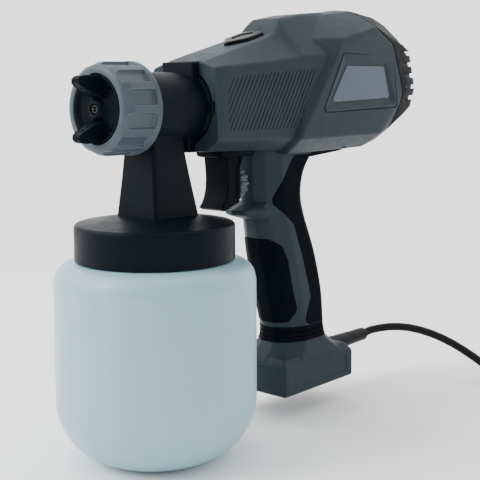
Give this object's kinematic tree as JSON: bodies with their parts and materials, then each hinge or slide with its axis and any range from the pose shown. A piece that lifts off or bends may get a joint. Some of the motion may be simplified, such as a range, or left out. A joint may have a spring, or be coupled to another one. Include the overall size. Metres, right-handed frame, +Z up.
{
  "type": "hvlp spray gun",
  "caption": "Corded HVLP spray gun with a turbine housing, pistol grip, front air cap and a translucent paint jar hung under the nose.",
  "frame": {"origin": "centre of the paint jar's flat base", "axes": "+Z up along the jar's axis; +Y from the spray tip back to the turbine's rear; +X towards the gun's left side"},
  "size_m": [0.1956, 0.3956, 0.2559],
  "materials": {
    "slate": "dark blue-grey moulded nylon, fine grain",
    "slate_light": "lighter blue-grey moulded plastic",
    "black_plastic": "black moulded plastic",
    "black_gloss": "polished black",
    "soft_black": "matt soft-touch overmould",
    "milky_plastic": "translucent milky polyethylene",
    "plate": "blue-grey plain plate",
    "steel": "plated steel",
    "brass": "bright brass",
    "copper": "copper windings",
    "board": "green circuit board",
    "foam": "dark open foam",
    "rubber": "black rubber",
    "aluminium_grey": "cast aluminium"
  },
  "bodies": {
    "housing": {"air_duct": "black_plastic", "air_filter": "foam", "back_strap": "soft_black", "badge_left": "plate", "badge_right": "plate", "button_spring": "steel", "cord_coil": "rubber", "cord_run": "rubber", "fan_housing": "black_plastic", "front_bearing": "steel", "grip_pad_left": "soft_black", "grip_pad_right": "soft_black", "handle_collar": "soft_black", "housing_left": "slate", "housing_right": "slate", "housing_screw_1": "steel", "housing_screw_2": "steel", "housing_screw_3": "steel", "housing_screw_4": "steel", "housing_screw_5": "steel", "housing_screw_6": "steel", "housing_screw_7": "steel", "housing_screw_8": "steel", "motor_brush_lower": "copper", "motor_brush_upper": "copper", "motor_can": "steel", "motor_mount": "rubber", "plug": "rubber", "plug_pin_1": "brass", "plug_pin_2": "brass", "power_switch": "black_plastic", "rear_bearing": "steel", "rear_cover": "black_plastic", "speed_board": "board", "speed_capacitor": "board", "strain_relief": "rubber", "trigger_guide": "black_plastic", "trigger_pin": "steel", "trigger_spring": "steel"},
    "rotor": {"rotor": "copper", "fan_wheel": "aluminium_grey"},
    "trigger": {"trigger": "black_plastic"},
    "flow_knob": {"flow_knob": "slate_light"},
    "release_button": {"release_button": "black_gloss"},
    "spray_head": {"spray_head": "black_plastic", "lid_gasket": "rubber", "suction_tube": "milky_plastic", "suction_filter": "black_plastic", "pressure_valve": "rubber", "fluid_nozzle": "brass", "needle_packing": "rubber", "nozzle_seal": "rubber", "needle_spring": "steel"},
    "needle": {"needle": "steel"},
    "jar": {"jar": "milky_plastic"},
    "union_nut": {"union_nut": "slate_light"},
    "air_cap": {"air_cap": "black_plastic"}
  },
  "joints": [
    {"name": "head_slide", "type": "slide", "parent": "housing", "child": "spray_head", "axis": [0, -1, 0], "range_m": [0, 0.12]},
    {"name": "jar_thread", "type": "hinge", "parent": "spray_head", "child": "jar", "pos_m": [0, 0, 0.1115], "axis": [0, 0, -1], "range_deg": [0, 360]},
    {"name": "nut_thread", "type": "hinge", "parent": "spray_head", "child": "union_nut", "pos_m": [0, -0.0164, 0.1945], "axis": [0, -1, 0], "range_deg": [0, 360]},
    {"name": "cap_turn", "type": "hinge", "parent": "spray_head", "child": "air_cap", "pos_m": [0, -0.041, 0.1945], "axis": [0, -1, 0], "range_deg": [0, 90]},
    {"name": "trigger_pull", "type": "hinge", "parent": "housing", "child": "trigger", "pos_m": [0, 0.057, 0.1775], "axis": [1, 0, 0], "range_deg": [0, 8], "stiffness_Nm_per_rad": 0.5, "springref_deg": -11.46},
    {"name": "needle_slide", "type": "slide", "parent": "spray_head", "child": "needle", "axis": [0, 1, 0], "range_m": [0, 0.003]},
    {"name": "flow_knob_turn", "type": "hinge", "parent": "trigger", "child": "flow_knob", "pos_m": [0, 0.065, 0.1485], "axis": [0, 1, 0], "range_deg": [0, 300]},
    {"name": "button_press", "type": "slide", "parent": "housing", "child": "release_button", "axis": [0, 0.2756, -0.9613], "range_m": [0, 0.0025], "stiffness_N_per_m": 400, "springref_m": -0.003, "deforming": ["button_spring"]},
    {"name": "rotor_spin", "type": "hinge", "parent": "housing", "child": "rotor", "pos_m": [0, 0.13, 0.2085], "axis": [0, 1, 0], "continuous": true}
  ],
  "couplings": [
    {"joint": "needle_slide", "follows": "trigger_pull", "m_per_rad": 0.02}
  ]
}
